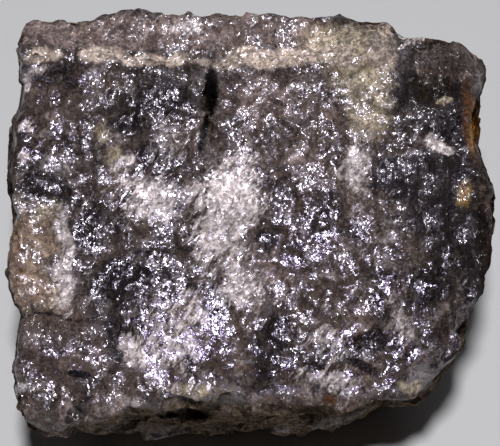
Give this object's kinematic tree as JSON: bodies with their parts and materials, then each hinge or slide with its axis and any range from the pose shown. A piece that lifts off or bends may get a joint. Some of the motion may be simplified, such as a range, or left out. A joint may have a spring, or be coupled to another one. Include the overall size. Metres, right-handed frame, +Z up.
{
  "type": "smoky quartz specimen",
  "caption": "Broken lump of massive smoky quartz: a broad rough glittering face leaning forward over an undercut front, a paler shelf along its back, and a flat break to rest on.",
  "frame": {"origin": "on the surface it rests on, under the middle of the lump's box", "axes": "+Z up, +X along the longest side, +Y towards the high back edge with the paler shelf"},
  "size_m": [0.0934, 0.0794, 0.0606],
  "materials": {
    "smoky_quartz": "vitreous, rough broken"
  },
  "bodies": {
    "root": {"smoky_quartz": "smoky_quartz"}
  },
  "joints": []
}
